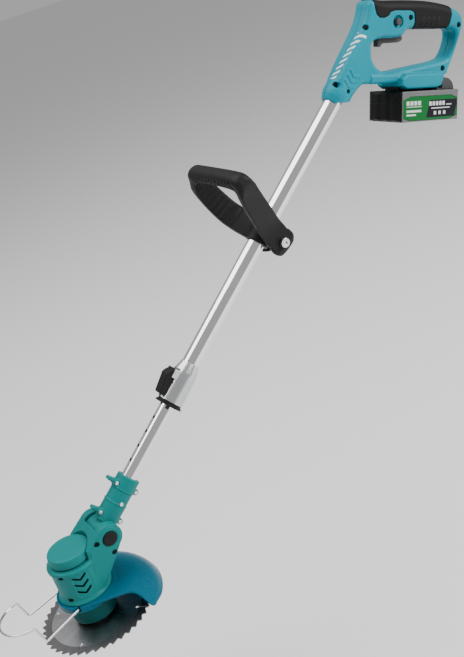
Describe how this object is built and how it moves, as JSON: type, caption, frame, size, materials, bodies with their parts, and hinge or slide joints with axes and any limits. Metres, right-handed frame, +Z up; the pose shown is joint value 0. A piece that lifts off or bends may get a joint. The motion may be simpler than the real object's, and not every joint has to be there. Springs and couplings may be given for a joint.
{
  "type": "brush cutter",
  "caption": "Cordless brush cutter with a telescopic shaft, a loop handle with slide-on battery, an adjustable front handle and a tilting guarded saw-blade head.",
  "frame": {"origin": "centre of the saw blade, where it sits on the spindle", "axes": "+Z up along the spindle with the blade level, +X back under the shaft towards the rear handle, +Y to the user's left when they look forward along the shaft"},
  "size_m": [1.0879, 0.1804, 0.7054],
  "materials": {
    "teal_handle": "satin moulded polymer",
    "teal_head": "fine matt moulded polymer",
    "guard_plastic": "glossy moulded polymer",
    "skirt_plastic": "matt moulded polymer",
    "black_plastic": "fine grained moulded polymer",
    "grip_rubber": "soft matt overmould",
    "grey_plastic": "smooth moulded polymer",
    "chrome_tube": "bright plated tube",
    "satin_sleeve": "satin metal",
    "blade_steel": "radially ground steel",
    "steel": "turned steel",
    "bright_wire": "bright plated wire",
    "screw_steel": "plated steel",
    "dark_screw": "black oxide",
    "silver_plastic": "silver paint",
    "label_green": "printed film",
    "cell_wrap": "shrink film",
    "board_green": "circuit board",
    "cable_black": "cable sheath"
  },
  "bodies": {
    "handle": {"upper_tube": "chrome_tube", "lock_sleeve": "satin_sleeve", "lock_flange": "black_plastic", "lock_pin": "steel", "motor_lead": "cable_black", "handle_shell_right": "teal_handle", "handle_shell_left": "teal_handle", "grip_pad_right": "grip_rubber", "grip_pad_left": "grip_rubber", "handle_screws": "dark_screw", "trigger_pin": "steel", "power_switch": "black_plastic", "control_board": "board_green", "terminal_block": "black_plastic"},
    "trigger": {"trigger": "grey_plastic"},
    "lock_off_button": {"lock_off_button": "grey_plastic"},
    "battery": {"battery_tray": "black_plastic", "battery_lid": "black_plastic", "battery_cells": "cell_wrap", "battery_frames": "silver_plastic", "battery_labels": "label_green"},
    "battery_latch": {"battery_latch": "grey_plastic"},
    "front_clamp": {"clamp_half_right": "black_plastic", "clamp_half_left": "black_plastic", "loop_bolt": "screw_steel", "loop_knob": "black_plastic"},
    "front_handle": {"front_loop": "black_plastic"},
    "lock_lever": {"lock_lever": "black_plastic"},
    "lower_shaft": {"lower_tube": "chrome_tube", "neck_half_right": "teal_head", "neck_half_left": "teal_head", "neck_screws": "screw_steel"},
    "head": {"hub_skirt": "skirt_plastic", "bearings": "steel", "motor": "steel", "guard": "guard_plastic", "head_shell_right": "teal_head", "head_shell_left": "teal_head", "motor_cap": "teal_head", "head_screws": "dark_screw", "tilt_bolt": "steel"},
    "tilt_button": {"tilt_button": "black_plastic"},
    "blade": {"blade": "blade_steel", "spindle": "steel", "blade_flange": "steel", "blade_nut": "steel"},
    "spacer_wire": {"spacer_wire": "bright_wire"}
  },
  "joints": [
    {"name": "trigger_pull", "type": "hinge", "parent": "handle", "child": "trigger", "pos_m": [0.82181, 0, 0.61913], "axis": [0, 1, 0], "range_deg": [0, 8], "stiffness_Nm_per_rad": 0.3, "springref_deg": -20.05},
    {"name": "lock_off_press", "type": "slide", "parent": "handle", "child": "lock_off_button", "axis": [0, 1, 0], "range_m": [0, 0.004], "stiffness_N_per_m": 400, "springref_m": -0.003},
    {"name": "battery_slide", "type": "slide", "parent": "handle", "child": "battery", "axis": [0.9489, 0, -0.3156], "range_m": [0, 0.085]},
    {"name": "battery_latch_press", "type": "slide", "parent": "battery", "child": "battery_latch", "axis": [-0.3156, 0, -0.9489], "range_m": [0, 0.004], "stiffness_N_per_m": 900, "springref_m": -0.003},
    {"name": "front_handle_position", "type": "slide", "parent": "handle", "child": "front_clamp", "axis": [0.809, 0, 0.5878], "range_m": [-0.15, 0.15]},
    {"name": "front_handle_tilt", "type": "hinge", "parent": "front_clamp", "child": "front_handle", "pos_m": [0.49357, 0, 0.40851], "axis": [0, 1, 0], "range_deg": [-40, 40]},
    {"name": "shaft_lock", "type": "hinge", "parent": "handle", "child": "lock_lever", "pos_m": [0.25604, 0, 0.29651], "axis": [0, 1, 0], "range_deg": [0, 100]},
    {"name": "shaft_length", "type": "slide", "parent": "handle", "child": "lower_shaft", "axis": [0.809, 0, 0.5878], "range_m": [0, 0.115]},
    {"name": "head_tilt", "type": "hinge", "parent": "lower_shaft", "child": "head", "pos_m": [0.0576, 0, 0.1239], "axis": [0, 1, 0], "range_deg": [0, 30]},
    {"name": "tilt_button_press", "type": "slide", "parent": "head", "child": "tilt_button", "axis": [0, 1, 0], "range_m": [0, 0.0025], "stiffness_N_per_m": 600, "springref_m": -0.003},
    {"name": "blade_spin", "type": "hinge", "parent": "head", "child": "blade", "pos_m": [0, 0, 0], "axis": [0, 0, -1], "continuous": true},
    {"name": "spacer_flip", "type": "hinge", "parent": "head", "child": "spacer_wire", "pos_m": [-0.028, 0, 0.046], "axis": [0, 1, 0], "range_deg": [0, 90]}
  ]
}
